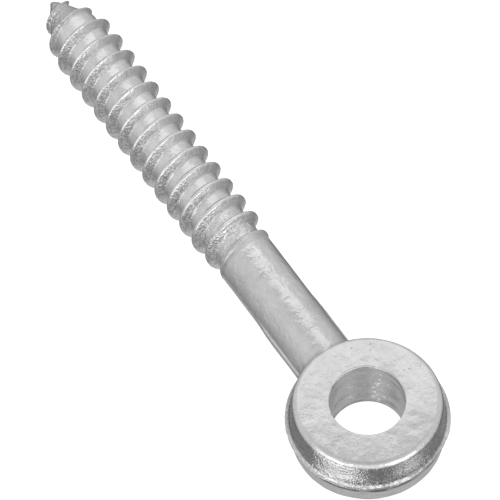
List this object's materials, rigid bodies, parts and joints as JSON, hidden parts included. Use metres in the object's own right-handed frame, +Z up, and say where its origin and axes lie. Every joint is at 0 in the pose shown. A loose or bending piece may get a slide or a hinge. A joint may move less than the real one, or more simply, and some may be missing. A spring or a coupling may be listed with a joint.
{
  "type": "eye bolt",
  "caption": "Forged lag eye bolt: a flat round eye on a plain shank with a right-hand wood thread and a gimlet point, zinc coated.",
  "frame": {"origin": "on the plane the bolt lies on, under the middle of its overall length", "axes": "+X along the bolt's axis from the point to the eye; +Z up, along the axis of the eye's bore"},
  "size_m": [0.1222, 0.0294, 0.0127],
  "materials": {
    "zinc_coated_steel": "hot-dip galvanised: pale matt grey zinc with fine mottling, small pits and lumps, not brushed"
  },
  "bodies": {
    "root": {"gimlet_point": "zinc_coated_steel", "wood_thread": "zinc_coated_steel", "thread_runout": "zinc_coated_steel", "shank": "zinc_coated_steel", "neck": "zinc_coated_steel", "eye": "zinc_coated_steel"}
  },
  "joints": []
}
